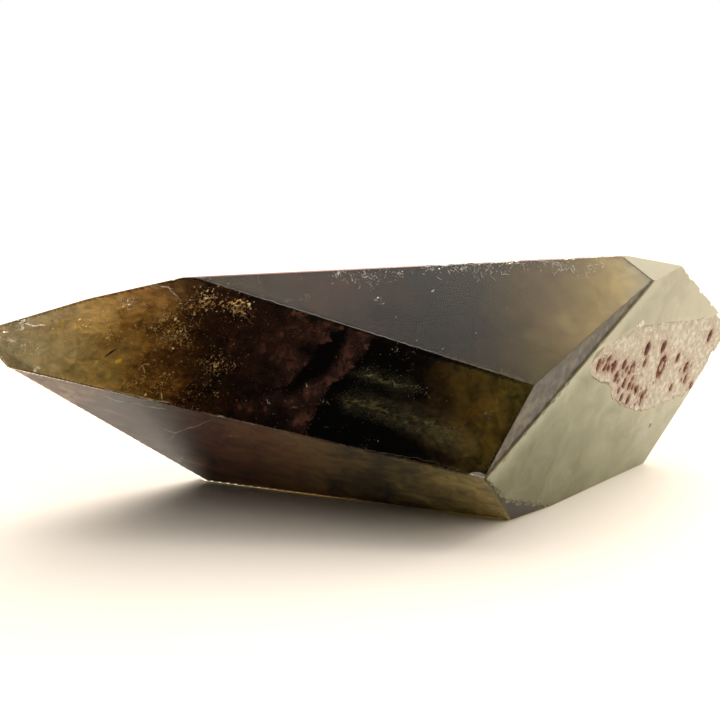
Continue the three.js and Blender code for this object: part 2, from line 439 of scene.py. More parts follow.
PALE_TINT = (8, 8, 16)
RIM_REACH = (0.16, 0.26)  # how far out of the chamfer's plane the end face's rim lies
# Painted light on the end face, lighter towards its thin upper rim.
PAINTED_LIGHT_SPAN = (14, 46)  # along the crystal, where the end face starts to lighten, and ends to
# Painted shade on the end face, darker low down.
PAINTED_SHADE_SPAN = (14, 0)  # the heights where it starts to darken, and ends to
SCRATCHED, GLOSS = (0.55, 0.8), (0.015, 0.08)  # the noise of scratches, and their roughness


def quartz(name, base, roughness, transmission, bump=None):
    """Clear quartz with a finish. base and roughness are plain values or functions that make
    a socket in the material's tree."""
    material, tree = new_material(name)
    inputs = {
        "Base Color": base(tree) if callable(base) else base,
        "Roughness": roughness(tree) if callable(roughness) else roughness,
        "IOR": IOR, "Transmission Weight": transmission,
    }
    if bump:
        inputs["Normal"] = bump(tree)
    shader = add(tree, "ShaderNodeBsdfPrincipled", inputs)
    return finish_material(material, shader, absorption(tree, PALE_TINT))


def scratched_gloss(tree):
    return mapped(tree, noise_node(tree, 1.6, stretch=(1, 1, 5)), *SCRATCHED, *GLOSS)


def beside_chamfer(tree):
    """1 on the end face's rim along the chamfer, 0 a few millimetres away from it."""
    normal, distance = PLANE["chamfer"]
    reach = add(tree, "ShaderNodeVectorMath", {0: own_place(tree), 1: tuple(normal)},
                operation="DOT_PRODUCT").outputs["Value"]
    low, high = RIM_REACH
    return mapped(tree, reach, (distance + low) * MM, (distance + high) * MM)


def end_colour(tree):
    """Pale green-grey with faint clouds, and lighter beside the chamfer. Painted light makes it
    lighter towards the thin upper rim, and painted shade makes it darker low down."""
    clouds = times(tree, noise_node(tree, 3.0, detail=10, distortion=0.7), 0.9)
    # Painted light, lighter towards the thin upper rim.
    painted_rim_light = mapped(tree, coordinate(tree, "X"), *[place * MM for place in PAINTED_LIGHT_SPAN])
    # Painted shade, darker low down.
    painted_low_shade = mapped(tree, coordinate(tree, "Z"), *[place * MM for place in PAINTED_SHADE_SPAN])
    both = plus(tree, plus(tree, clouds, painted_rim_light), -0.2)
    both = plus(tree, both, times(tree, painted_low_shade, -0.35))
    both = plus(tree, both, times(tree, beside_chamfer(tree), 0.5))
    return ramp(tree, both, (0.0, 138, 138, 102), (0.5, 184, 186, 154), (1.1, 232, 230, 204))


def chamfer_colour(tree):
    """Grey with a touch of mauve and darker clouds."""
    clouds = noise_node(tree, 1.2, detail=8, distortion=0.4)
    return ramp(tree, clouds, (0.36, 116, 104, 86), (0.5, 150, 138, 120), (0.64, 192, 182, 158))


def fine_relief(strength, size):
    """Relief in the look alone, a tenth as high as its features are wide."""
    def bump(tree):
        return add(tree, "ShaderNodeBump", {
            "Height": noise_node(tree, size, detail=5, distortion=0.2),
            "Strength": strength, "Distance": 0.1 * size * MM}).outputs["Normal"]
    return bump


def outside_materials():
    """The finishes by name: each one's base colour, roughness, transmission and relief."""
    clear = (1, 1, 1, 1)
    finishes = {
        "polished": (clear, scratched_gloss, 1),
        "glossy": (clear, 0.02, 1),
        "frosted": (end_colour, 0.42, 0.5, fine_relief(0.35, 0.7)),
        "chipped": ((0.9, 0.88, 0.84, 1), 0.22, 0.85),
        "satin": (clear, 0.22, 1),
        "silky": (clear, 0.045, 1),
        "bruised": (linear(170, 144, 76), 0.12, 1),
        "clouded": (chamfer_colour, 0.32, 0.82, fine_relief(0.3, 0.8)),
        "streaked": (linear(168, 164, 130), 0.35, 0.4, fine_relief(0.5, 1.0)),
        "worn": (linear(206, 200, 160), 0.4, 0.7),
        "ridge": (linear(130, 40, 48), 0.4, 0.35),
    }
    return {name: quartz(f"quartz_{name}", *values) for name, values in finishes.items()}


FINISH = {
    "front": "polished", "lower_front": "glossy", "top": "silky", "chamfer": "clouded",
    "bruise": "bruised", "bruise_left": "bruised", "end": "frosted", "upper_end": "streaked",
}
UPWARD = 0.9  # cosine of the angle from straight up within which wear is ridge wear
ALONG_END = 0.8  # cosine of the angle within which a small face is taken to lie along the end
MERGE_DEGREES = 0.05
CHIP_SMOOTH_DEGREES = 38
END_REACH = 0.9
STEP_REACH = 0.35  # how much higher than the chamfer the end face stands, and a little more
WORN_AREA = 0.3  # square millimetres


def finish_of(facet, face, near_end):
    if facet:
        return FINISH.get(facet, "satin")
    if near_end:
        return "frosted"
    if face.calc_area() < WORN_AREA * MM**2:
        return "chipped"
    return "ridge" if face.normal.z > UPWARD else "worn"


def outside():
    """The solid's own surface, with a finish for each kind of facet, for wear and for chips."""
    bm = welded_solid()
    bm.normal_update()
    names = list(PLANE)
    facings, distances = plane_arrays()
    normals = np.array([f.normal for f in bm.faces])
    middles = np.array([f.calc_center_median() for f in bm.faces]) / MM
    alike = (normals @ facings.T > SAME_WAY) & (abs(middles @ facings.T - distances) < SAME_PLANE)
    found = [names[int(np.argmax(row))] if row.any() else None for row in alike]
    facet = dict(zip(bm.faces, found))
    end_normal, end_distance = PLANE["end"]
    below_end = end_distance - middles @ end_normal
    chamfer_normal, chamfer_distance = PLANE["chamfer"]
    on_end = (abs(below_end) < END_REACH) & (normals @ end_normal > ALONG_END)
    on_end &= below_end < chamfer_distance - middles @ chamfer_normal + STEP_REACH
    on_end |= abs(below_end) < STEP_REACH
    materials = outside_materials()
    order = list(materials)
    for face, near_end in zip(list(bm.faces), on_end):
        face.material_index = order.index(finish_of(facet[face], face, near_end))
        face.smooth = True
    for edge in bm.edges:
        sides = [facet[f] for f in edge.link_faces]
        same = len(sides) == 2 and sides[0] == sides[1]
        gentle = edge.calc_face_angle(0) < math.radians(CHIP_SMOOTH_DEGREES)
        edge.smooth = same and (sides[0] is not None or gentle)
    bmesh.ops.dissolve_limit(bm, angle_limit=math.radians(MERGE_DEGREES), verts=bm.verts,
                             edges=bm.edges, delimit={"MATERIAL", "SHARP"})
    mesh = bpy.data.meshes.new("crystal")
    bm.to_mesh(mesh)
    bm.free()
    for made in materials.values():
        mesh.materials.append(made)
    crystal = show("crystal", mesh, QUARTZ)
    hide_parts(NODE)
    return crystal


# Growth zones.

ZONE_INSET = 0.994  # each zone is the crystal drawn in this much towards its middle
ZONE_GAP = 0.02


def end_side(depth):
    """The plane parallel to the end facet, so deep in the crystal."""
    normal, distance = PLANE["end"]
    return normal, distance - depth


def across(x):
    """The plane square to the crystal's length at x."""
    return np.array([1.0, 0, 0]), x


def beyond(plane):
    """The same plane, facing the other way: what lies on its far side is kept."""
    return -plane[0], -plane[1]


def zone(name, cuts, per_metre):
    """The part of the crystal on the inner side of each cutting plane. It only absorbs light."""
    bm = welded_solid()
    heart = Vector(HEART) * MM
    for vertex in bm.verts:
        vertex.co = heart + (vertex.co - heart) * ZONE_INSET
    for normal, distance in cuts:
        geometry = bm.verts[:] + bm.edges[:] + bm.faces[:]
        place = Vector(normal * (distance - ZONE_GAP / 2)) * MM
        cut = bmesh.ops.bisect_plane(bm, geom=geometry, plane_co=place, plane_no=Vector(normal),
                                     clear_outer=True)
        rim = [e for e in cut["geom_cut"] if isinstance(e, bmesh.types.BMEdge)]
        bmesh.ops.contextual_create(bm, geom=rim)
    bmesh.ops.triangulate(bm, faces=[f for f in bm.faces if len(f.verts) > 4])
    open_edges = sum(not e.is_manifold for e in bm.edges)
    if open_edges:
        raise ValueError(f"{name} has {open_edges} open edges")
    mesh = bpy.data.meshes.new(name)
    bm.to_mesh(mesh)
    bm.free()
    material, tree = new_material(name)
    finish_material(material, volume=absorption(tree, per_metre))
    return show(name, mesh, INSIDE, material)


# From the pale end to the dark middle: where each slice starts, and what it takes a metre.
SLICES = [
    ("pale", 24.0, (26, 34, 66)), ("pale_2", 19.5, (30, 38, 78)), ("olive", 15.5, (40, 48, 98)),
    ("olive_2", 12.0, (54, 66, 122)), ("olive_3", 9.0, (70, 84, 148)),
    ("olive_4", 6.0, (94, 110, 174)), ("olive_5", 3.0, (130, 148, 206)),
]
PHANTOM_DEPTHS = (16.2, 22.0, 32.0)  # how far behind the end face the phantom's planes lie


def zones():
    right = []
    for name, start, per_metre in SLICES:
        zone(f"zone_{name}", [*right, beyond(across(start))], per_metre)
        right = [across(start)]
    outer, middle, inner = [end_side(depth) for depth in PHANTOM_DEPTHS]
    zone("zone_smoke", [*right, beyond(outer)], (200, 220, 250))
    zone("zone_red", [*right, outer, beyond(middle)], (110, 145, 160))
    zone("zone_brown", [*right, middle, beyond(inner)], (50, 76, 130))
    zone("zone_golden", [inner], (14, 24, 66))


# Things inside.

SHEET_THICK = 0.05
# The far cloud at the tip thins out between two columns of pixels, by a share that wanders
# with noise of a size in pixels.
THIN_START, THIN_STOP = 30, 150
THIN_SHARE, THIN_WANDER, THIN_SIZE, THIN_FLAT = 0.32, 0.12, 26, 1.6

FLAKES_HEIGHT, STROKES_HEIGHT = 0.7, 0.5  # of a cluster, for its width
MOSTLY_SMALL = 2.5
FLAKE_CLEAR = 0.6  # how far flakes keep from the facets, for their size
FLAKE_HALF, GRAIN_SHARE = 0.012, 0.5  # half the thickness of a flake, and of a grain for its size
GLINT_SHARE = 0.5  # of the splinters that lie so that they mirror the sky
GLINT_WAY, GLINT_SPREAD = (0.07, -0.5, 0.86), 0.22  # the way those face
SPLINTER_SIDES, SPLINTER_LONGEST = (4, 6), 2.2
SPLINTER_TURN, SPLINTER_REACH = 0.3, (0.5, 1)  # how uneven its corners are, round it and out

STRAND_STEP, STRAY = 4, 0.4  # pixels
STRAND_THICK, LEAST_DEPTH, UNEVEN = 0.04, 0.01, 0.02
STRAND_TILT, TAPER, STRAND_WIDTHS = 0.9, 0.8, (0.5, 1.3)
# Strokes: the least and most of their parts, of each part's length, and of width and depth.
STROKE_PARTS, STROKE_PART = (1, 3), (0.2, 0.6)
STROKE_WIDTHS, STROKE_DEPTHS = (0.5, 1.4), (0.3, 1.5)
STROKE_BEND = 0.45  # radians


def edge_fade(outline, px, py, width, sharp):
    """0 on the edges of an outline of pixels and 1 beyond a width from them. Sharp edges, by
    their number, don't fade."""
    nearest = np.full(np.shape(px), np.inf)
    for number, (first, second) in enumerate(zip(outline, outline[1:] + outline[:1])):
        if number in sharp:
            continue
        (ax, ay), (bx, by) = first, second
        length = (bx - ax) ** 2 + (by - ay) ** 2
        share = np.clip(((px - ax) * (bx - ax) + (py - ay) * (by - ay)) / length, 0, 1)
        nearest = np.minimum(nearest, np.hypot(px - ax - share * (bx - ax), py - ay - share * (by - ay)))
    return np.clip(nearest / width, 0, 1)


def haze(name, facet, outline, depth, material, step=2.0, fade=12, sharp=(), weave=None,
         relief=0.3, relief_size=4.0, clear=0.04):
    """A thin closed sheet under a facet, inside an outline of pixels, that thins out towards the
    outline's edges and where weave, a function of pixels, is low. How dense it is goes to the
    material as the attribute cover. It rises and sinks by its relief, and keeps clear of every
    facet."""
    ox, oy = np.array(outline, float).T
    xs = np.arange(ox.min(), ox.max() + step, step)
    ys = np.arange(oy.min(), oy.max() + step, step)
    px, py = np.meshgrid(xs, ys)
    kept = inside_outline(outline, px[:-1, :-1] + step / 2, py[:-1, :-1] + step / 2)
    level = depth + relief * grain(np.stack([px, py], -1) * PIXEL, relief_size)
    top = under(facet, px, py, level)
    bottom = under(facet, px, py, level, SHEET_THICK)
    kept &= at_corners(well_inside(top, clear) & well_inside(bottom, clear)).all(0)
    cover = edge_fade(outline, px, py, fade, sharp)
    if weave:
        cover = cover * weave(px, py)
    kept &= (at_corners(cover) > 0).any(0)
    points, faces = thick_cells(kept, top, bottom)
    mesh = mesh_of(name, points, faces, True)
    store(mesh, "cover", cover, kept)
    return show(name, mesh, INSIDE, material)


def streaks(size, least, most, seed=0.0, lean=0.0, stretch=1.0, octaves=5):
    """A weave: 0 where noise is below a level and 1 above another. Its features, of a size in
    pixels, are drawn out along a direction that leans so many degrees below the horizontal."""
    turn = math.radians(lean)

    def weave(px, py):
        along = (px * math.cos(turn) + py * math.sin(turn)) / stretch
        over = -px * math.sin(turn) + py * math.cos(turn)
        found = grain(np.stack([along, over], -1), size, octaves, seed)
        return np.clip((found - least) / (most - least), 0, 1)
    return weave


def thinning(px, py):
    """A weave: 1 in the dark middle and less towards the tip, where light comes through."""
    share = np.clip((THIN_STOP - px) / (THIN_STOP - THIN_START), 0, 1)
    wander = THIN_WANDER * grain(np.stack([px, THIN_FLAT * py], -1), THIN_SIZE, seed=5.0)
    return 1 - share * (THIN_SHARE + wander)


def splinter(draw, middle, size, half):
    """The corners and faces of a flat splinter round a place. Some are turned to mirror the
    sky, and the others any way."""
    way = Vector([draw.gauss(0, 1) for _ in range(3)])
    if draw.random() < GLINT_SHARE:
        way = Vector(GLINT_WAY) + GLINT_SPREAD * way
    out = way.normalized()
    side = out.orthogonal().normalized()
    over = out.cross(side)
    sides = draw.randint(*SPLINTER_SIDES)
    longer = draw.uniform(1, SPLINTER_LONGEST)
    ring = []
    for i in range(sides):
        angle = (i + draw.uniform(-SPLINTER_TURN, SPLINTER_TURN)) * 2 * math.pi / sides
        reach = size * draw.uniform(*SPLINTER_REACH)
        ring.append(side * math.cos(angle) * reach * longer + over * math.sin(angle) * reach)
    corners = [middle + np.array(corner + out * lift) for lift in (half, -half) for corner in ring]
    faces = [range(sides), range(2 * sides - 1, sides - 1, -1)]
    for i in range(sides):
        after = (i + 1) % sides
        faces.append((after, i, sides + i, sides + after))
    return corners, faces


def flakes(name, facet, clusters, material, seed, buried=True):
    """Small flat splinters under a facet, or thicker grains half sunk in it. A cluster is a
    place in pixels, its spread, a number of flakes, their least and greatest size, and their
    least and greatest depth in millimetres."""
    draw = random.Random(seed)
    points, faces = [], []
    for px, py, spread, count, small, large, near, far in clusters:
        for _ in range(count):
            x, y = draw.gauss(px, spread), draw.gauss(py, spread * FLAKES_HEIGHT)
            middle = under(facet, x, y, draw.uniform(near, far))
            size = (small + (large - small) * draw.random() ** MOSTLY_SMALL) / 2
            if buried and not well_inside(middle, FLAKE_CLEAR * size):
                continue
            half = FLAKE_HALF if buried else GRAIN_SHARE * size
            corners, sides = splinter(draw, middle, size, half)
            faces += [tuple(len(points) + k for k in side) for side in sides]
            points += corners
    return show(name, mesh_of(name, points, faces), INSIDE if buried else SKIN, material)


def wandering(draw, pixels):
    """A line of pixels in short steps that stray a little."""
    route = []
    for (ax, ay), (bx, by) in zip(pixels, pixels[1:]):
        steps = max(2, int(math.hypot(bx - ax, by - ay) / STRAND_STEP))
        route += [(ax + (bx - ax) * i / steps, ay + (by - ay) * i / steps) for i in range(steps)]
    route.append(pixels[-1])
    return [(x + draw.gauss(0, STRAY), y + draw.gauss(0, STRAY)) for x, y in route]


def strands(name, facet, lines, material, seed, tilt=0.0):
    """Cracks and threads as narrow closed ribbons that wander. A line is its pixels, its width
    and its depth in millimetres. tilt is how much deeper their upper edges lie, for their
    widths."""
    draw = random.Random(seed)
    points, faces = [], []
    for pixels, width, depth in lines:
        route = wandering(draw, pixels)
        route = [p for p in route if well_inside(under(facet, *p, depth), width / 2)]
        if len(route) < 2:
            continue
        for i, (x, y) in enumerate(route):
            (ax, ay), (bx, by) = route[max(i - 1, 0)], route[min(i + 1, len(route) - 1)]
            run = math.hypot(bx - ax, by - ay) or 1
            taper = 1 - TAPER * abs(2 * i / (len(route) - 1) - 1) ** 2
            half = width * taper * draw.uniform(*STRAND_WIDTHS) / 2 / PIXEL
            level = depth + draw.gauss(0, UNEVEN)
            for lift, push in ((-half, 0), (half, 0), (half, STRAND_THICK), (-half, STRAND_THICK)):
                px, py = x - lift * (by - ay) / run, y + lift * (bx - ax) / run
                tilted = max(level + (y - py) * PIXEL * tilt, LEAST_DEPTH)
                points.append(under(facet, px, py, tilted, push))
            if i:
                last, now = len(points) - 8, len(points) - 4
                faces += [(last + k, last + (k + 1) % 4, now + (k + 1) % 4, now + k) for k in range(4)]
            else:
                faces.append(tuple(len(points) - 4 + k for k in (3, 2, 1, 0)))
        faces.append(tuple(len(points) - 4 + k for k in range(4)))
    return show(name, mesh_of(name, points, faces), INSIDE, material)


def strokes(clusters, seed):
    """Short crooked lines for strands. A cluster is a place in pixels, its spread, a number of
    lines, their length in pixels, how many degrees they lean below the horizontal and how far
    that varies, their width and their depth in millimetres."""
    draw = random.Random(seed)
    lines = []
    for px, py, spread, count, length, lean, swing, width, depth in clusters:
        for _ in range(count):
            x, y = draw.gauss(px, spread), draw.gauss(py, spread * STROKES_HEIGHT)
            turn = math.radians(draw.gauss(lean, swing))
            line = [(x, y)]
            for _ in range(draw.randint(*STROKE_PARTS)):
                reach = length * draw.uniform(*STROKE_PART)
                x, y = x + reach * math.cos(turn), y + reach * math.sin(turn)
                line.append((x, y))
                turn += draw.gauss(0, STROKE_BEND)
            wide, deep = draw.uniform(*STROKE_WIDTHS), draw.uniform(*STROKE_DEPTHS)
            lines.append((line, width * wide, depth * deep))
    return lines


# Outlines of the clouds and veils, and the clusters and lines, in pixels of the photograph.
TIP_CLOUD = [(-10, 334), (3, 325), (20, 318), (60, 305), (100, 294), (150, 282), (186, 275),
             (240, 293), (300, 312), (347, 330), (372, 338), (366, 352), (346, 376), (331, 384),
             (319, 402), (303, 441), (220, 422), (190, 415), (150, 406), (107, 398), (77, 391),
             (37, 380), (9, 374), (-4, 360)]
GOLD_CLOUD = [(-6, 336), (4, 326), (20, 319), (60, 306), (100, 295), (150, 283), (186, 276),
              (215, 292), (238, 318), (232, 352), (222, 385), (212, 419), (190, 415), (150, 406),
              (107, 398), (77, 391), (37, 380), (9, 374), (-4, 360)]
RED_CLOUD = [(196, 274), (240, 288), (300, 306), (347, 321), (343, 330), (330, 333), (332, 341), (319, 345),
             (315, 357), (300, 372), (287, 386), (262, 392), (238, 404), (222, 416), (200, 411),
             (196, 360)]
RED_BAND = [(347, 320), (376, 330), (366, 352), (346, 376), (331, 384), (319, 402), (304, 437),
            (240, 424), (214, 416), (236, 398), (264, 390), (292, 388), (312, 378), (327, 370),
            (338, 352)]
DARK_CLOUD = [(373, 339), (430, 357), (480, 371), (530, 388), (538, 392), (484, 484), (430, 472),
              (345, 452), (303, 442), (319, 402), (331, 384), (346, 376), (366, 352)]
VEIL = [(330, 396), (352, 382), (392, 392), (440, 408), (480, 430), (482, 456), (448, 458), (410, 440),
        (372, 424), (340, 414)]
VEIL_TOP = [(338, 372), (372, 362), (414, 374), (426, 392), (400, 402), (366, 390)]
OLIVE_VEIL = [(420, 372), (470, 368), (515, 392), (500, 440), (480, 462), (440, 440), (412, 404)]
LOWER_CLOUD = [(10, 366), (77, 382), (107, 389), (190, 406), (300, 430), (345, 441), (400, 452),
               (490, 474), (512, 520), (506, 526), (440, 522), (370, 512), (203, 494), (112, 444),
               (42, 403)]
TOP_CLOUD = [(400, 282), (450, 262), (520, 254), (612, 250), (660, 284), (604, 338), (560, 378),
             (500, 372), (450, 340)]
TOP_LEFT_CLOUD = [(186, 274), (262, 269), (335, 264), (380, 261), (390, 290), (372, 330), (345, 327),
                  (300, 312), (240, 293)]
TOP_RED_CLOUD = [(280, 268), (335, 264), (358, 263), (354, 296), (342, 322), (318, 314), (296, 305)]
# Where the sheet of painted shade lies under the top, along its lower edge.
TOP_SHADE_OUTLINE = [(250, 292), (330, 300), (400, 312), (460, 330), (520, 350), (540, 388), (500, 382),
                 (400, 350), (300, 316)]
GOLD_FLAKES = [
    (162, 320, 12, 210, 0.06, 0.34, 0.3, 1.5), (174, 338, 11, 260, 0.06, 0.34, 0.3, 1.5),
    (190, 308, 10, 130, 0.06, 0.3, 0.3, 1.5), (206, 298, 8, 110, 0.06, 0.3, 0.3, 1.2),
    (236, 308, 9, 120, 0.06, 0.34, 0.3, 1.2), (150, 378, 14, 170, 0.06, 0.3, 0.3, 1.5),
    (215, 366, 9, 150, 0.06, 0.3, 0.3, 1.5), (122, 352, 18, 60, 0.06, 0.26, 0.3, 1.5),
    (110, 336, 6, 50, 0.08, 0.34, 0.3, 0.8), (130, 386, 16, 140, 0.06, 0.26, 0.2, 1.2),
    (60, 345, 26, 90, 0.05, 0.2, 0.3, 1.5), (200, 395, 14, 120, 0.06, 0.26, 0.3, 1.5),
    (185, 350, 36, 150, 0.05, 0.2, 0.3, 1.5), (90, 318, 26, 90, 0.05, 0.2, 0.3, 1.2),
    (165, 318, 6, 22, 0.18, 0.5, 0.3, 0.8), (178, 335, 6, 18, 0.18, 0.45, 0.3, 0.8),
    (238, 305, 7, 18, 0.18, 0.45, 0.3, 0.8), (204, 297, 6, 14, 0.18, 0.45, 0.3, 0.8),
    (110, 337, 4, 9, 0.18, 0.4, 0.3, 0.8), (152, 386, 6, 12, 0.18, 0.4, 0.3, 0.8),
    (122, 350, 10, 7, 0.15, 0.35, 0.3, 0.8), (212, 368, 7, 10, 0.15, 0.4, 0.3, 0.8),
    (150, 362, 8, 8, 0.15, 0.35, 0.3, 0.8), (88, 321, 5, 6, 0.15, 0.4, 0.3, 0.8),
]
GOLD_STROKES = [
    (160, 325, 16, 20, 6, 60, 60, 0.07, 0.5), (178, 338, 12, 20, 6, 70, 60, 0.07, 0.5),
    (200, 305, 12, 14, 7, 40, 60, 0.06, 0.4), (150, 385, 18, 22, 9, 15, 40, 0.07, 0.4),
    (100, 330, 22, 16, 6, 30, 50, 0.06, 0.4), (215, 370, 14, 14, 6, 70, 60, 0.06, 0.5),
    (240, 312, 12, 12, 7, 50, 50, 0.06, 0.4), (60, 350, 26, 14, 8, -10, 30, 0.06, 0.5),
]
YELLOW_SPOTS = [(62, 324, 0.8, 6, 0.3, 0.6, 0.3, 0.5), (74, 326, 0.8, 5, 0.2, 0.4, 0.3, 0.5),
                (108, 332, 3, 8, 0.15, 0.4, 0.3, 0.6),
                (119, 361, 1.0, 9, 0.4, 0.8, 0.3, 0.6), (96, 362, 1, 3, 0.2, 0.4, 0.3, 0.6)]
PALE_FLAKES = [
    (128, 302, 6, 60, 0.06, 0.26, 0.3, 1), (402, 377, 11, 26, 0.05, 0.18, 0.3, 1.4),
    (350, 365, 18, 8, 0.05, 0.12, 0.3, 1.5), (400, 350, 30, 10, 0.05, 0.1, 0.3, 2),
    (367, 374, 4, 16, 0.05, 0.24, 0.3, 0.8),
    (440, 395, 26, 24, 0.05, 0.14, 0.4, 2), (285, 410, 22, 30, 0.05, 0.18, 0.3, 1.5),
    (350, 425, 20, 12, 0.05, 0.12, 0.3, 1.5), (366, 440, 4, 18, 0.06, 0.18, 0.4, 1.4),
    (420, 392, 6, 40, 0.06, 0.26, 0.3, 0.8), (490, 415, 3, 12, 0.08, 0.22, 0.3, 0.8),
    (14, 342, 7, 70, 0.06, 0.34, 0.2, 0.8), (26, 350, 7, 50, 0.06, 0.3, 0.3, 0.8),
    (24, 323, 5, 50, 0.06, 0.34, 0.05, 0.4), (6, 334, 4, 40, 0.06, 0.3, 0.1, 0.4),
    (21, 324, 3, 24, 0.15, 0.5, 0.15, 0.3), (36, 368, 2, 14, 0.15, 0.45, 0.15, 0.3),
    (76, 383, 2, 10, 0.12, 0.35, 0.15, 0.3), (10, 342, 3, 20, 0.12, 0.4, 0.15, 0.3),
    (430, 345, 60, 40, 0.04, 0.12, 0.2, 1),
    (398, 349, 5, 16, 0.05, 0.18, 0.03, 0.15), (413, 353, 4, 12, 0.05, 0.16, 0.03, 0.15),
]
PALE_STROKES = [
    (22, 346, 6, 8, 6, 20, 30, 0.06, 0.4), (132, 303, 8, 12, 6, -10, 40, 0.06, 0.4),
    (155, 287, 8, 6, 6, 10, 20, 0.07, 0.3), (404, 376, 14, 6, 6, 20, 40, 0.05, 0.7),
    (290, 405, 26, 6, 5, 40, 50, 0.05, 0.5), (340, 432, 26, 5, 5, 50, 50, 0.05, 0.5),
]
RED_FLAKES = [
    (318, 330, 5, 40, 0.05, 0.26, 0.4, 1.0), (262, 385, 22, 110, 0.05, 0.16, 0.4, 1.2),
    (290, 350, 16, 60, 0.05, 0.14, 0.4, 1.2), (250, 340, 20, 80, 0.05, 0.16, 0.4, 1.2),
    (310, 405, 12, 40, 0.05, 0.14, 0.4, 1.2), (272, 325, 16, 50, 0.05, 0.14, 0.4, 1.0),
]
LOWER_FLAKES = [
    (177, 459, 3.5, 60, 0.06, 0.3, 0.08, 0.35), (228, 433, 12, 70, 0.05, 0.22, 0.08, 0.35),
    (160, 440, 22, 60, 0.05, 0.18, 0.08, 0.35), (120, 405, 16, 40, 0.05, 0.16, 0.08, 0.35),
    (250, 430, 18, 40, 0.05, 0.16, 0.08, 0.35), (300, 460, 40, 30, 0.04, 0.12, 0.08, 0.35),
]
TOP_SPOTS = [
    (345, 271, 4, 10, 0.1, 0.3, 0.12, 0.2), (366, 278, 6, 14, 0.1, 0.3, 0.12, 0.2),
    (392, 274, 5, 8, 0.1, 0.26, 0.12, 0.2), (434, 265, 3, 12, 0.1, 0.36, 0.12, 0.2),
    (460, 266, 5, 10, 0.1, 0.3, 0.12, 0.2), (484, 266, 8, 16, 0.1, 0.3, 0.12, 0.2),
    (512, 261, 10, 14, 0.1, 0.3, 0.12, 0.2), (545, 259, 7, 8, 0.1, 0.26, 0.12, 0.2),
    (566, 266, 9, 14, 0.1, 0.3, 0.12, 0.2), (433, 291, 0.4, 3, 0.3, 0.42, 0.18, 0.24),
    (476, 333, 0.4, 2, 0.16, 0.22, 0.12, 0.2), (417, 340, 0.4, 2, 0.14, 0.2, 0.12, 0.2),
    (215, 281, 9, 10, 0.06, 0.2, 0.1, 0.16), (256, 276, 5, 6, 0.08, 0.24, 0.1, 0.16),
]
TOP_FLAKES = [
    (347, 274, 7, 40, 0.06, 0.24, 0.03, 0.2), (372, 278, 8, 50, 0.06, 0.24, 0.03, 0.2),
    (395, 272, 6, 30, 0.06, 0.22, 0.03, 0.2), (434, 266, 5, 40, 0.06, 0.26, 0.03, 0.15),
    (456, 266, 6, 40, 0.06, 0.24, 0.03, 0.15), (480, 264, 8, 60, 0.06, 0.26, 0.03, 0.15),
    (510, 260, 9, 50, 0.06, 0.24, 0.03, 0.15), (545, 258, 8, 40, 0.06, 0.24, 0.03, 0.15),
    (564, 265, 8, 50, 0.06, 0.26, 0.03, 0.15), (592, 258, 9, 40, 0.06, 0.24, 0.03, 0.15),
    (380, 300, 3, 10, 0.08, 0.3, 0.1, 0.3),
    (230, 285, 26, 30, 0.04, 0.14, 0.03, 0.15), (500, 320, 60, 26, 0.04, 0.14, 0.03, 0.2),
]
TOP_STROKES = [
    (338, 271, 4, 7, 6, 45, 25, 0.08, 0.1), (362, 277, 8, 14, 6, 45, 40, 0.08, 0.1),
    (392, 274, 7, 7, 5, 30, 40, 0.08, 0.1), (430, 266, 9, 14, 7, 20, 40, 0.08, 0.1),
    (454, 267, 6, 14, 6, 45, 30, 0.08, 0.1), (484, 268, 9, 18, 7, 20, 45, 0.08, 0.1),
    (510, 263, 12, 16, 8, 5, 30, 0.08, 0.1), (546, 261, 6, 10, 8, 35, 25, 0.08, 0.1),
    (564, 267, 8, 18, 7, 35, 40, 0.08, 0.1), (590, 261, 8, 12, 7, 25, 30, 0.08, 0.1),
]
CRACKS = [
    ([(150, 286), (157, 285), (168, 287), (174, 294), (181, 301)], 0.16, 0.3),
    ([(17, 322), (30, 325), (45, 326)], 0.22, 0.2), ([(33, 370), (37, 376)], 0.22, 0.2),
    ([(96, 387), (118, 396), (150, 400), (172, 402)], 0.18, 0.15),
    ([(200, 412), (260, 428), (345, 446), (430, 461), (486, 478)], 0.05, 0.05),
    ([(37, 377), (77, 387), (107, 394), (150, 402), (200, 412)], 0.07, 0.05),
]
LOWER_CRACKS = [([(158, 425), (165, 430), (175, 433), (190, 428), (215, 419)], 0.06, 0.16),
                ([(175, 433), (170, 440)], 0.05, 0.2),
                ([(103, 396), (112, 399), (120, 401), (128, 403)], 0.16, 0.18),
                ([(132, 403), (150, 407), (166, 409)], 0.08, 0.12)]
TOP_EDGE = [([(206, 280.6), (300, 310.3), (400, 341.9), (526, 381.6)], 0.05, 0.06)]
LEDGE_GRAINS = [
    (641, 324, 2.0, 16, 0.12, 0.42, 0.0, 0.05), (651, 326, 2.5, 12, 0.1, 0.34, 0.0, 0.05),
    (664, 323, 3, 12, 0.1, 0.3, 0.0, 0.05), (680, 321, 4, 16, 0.1, 0.34, 0.0, 0.05),
    (694, 319, 3.5, 12, 0.1, 0.3, 0.0, 0.05), (621, 341, 3, 8, 0.1, 0.26, 0.0, 0.05),
    (608, 354, 3, 6, 0.1, 0.26, 0.0, 0.05), (646, 331, 6, 10, 0.08, 0.2, 0.0, 0.05),
]
DARK_SPECKS = [(499, 513, 0.3, 6, 0.2, 0.3, 0.16, 0.26)]
DARK_DASH = [([(104, 357), (112, 352), (119, 347)], 0.22, 0.4)]


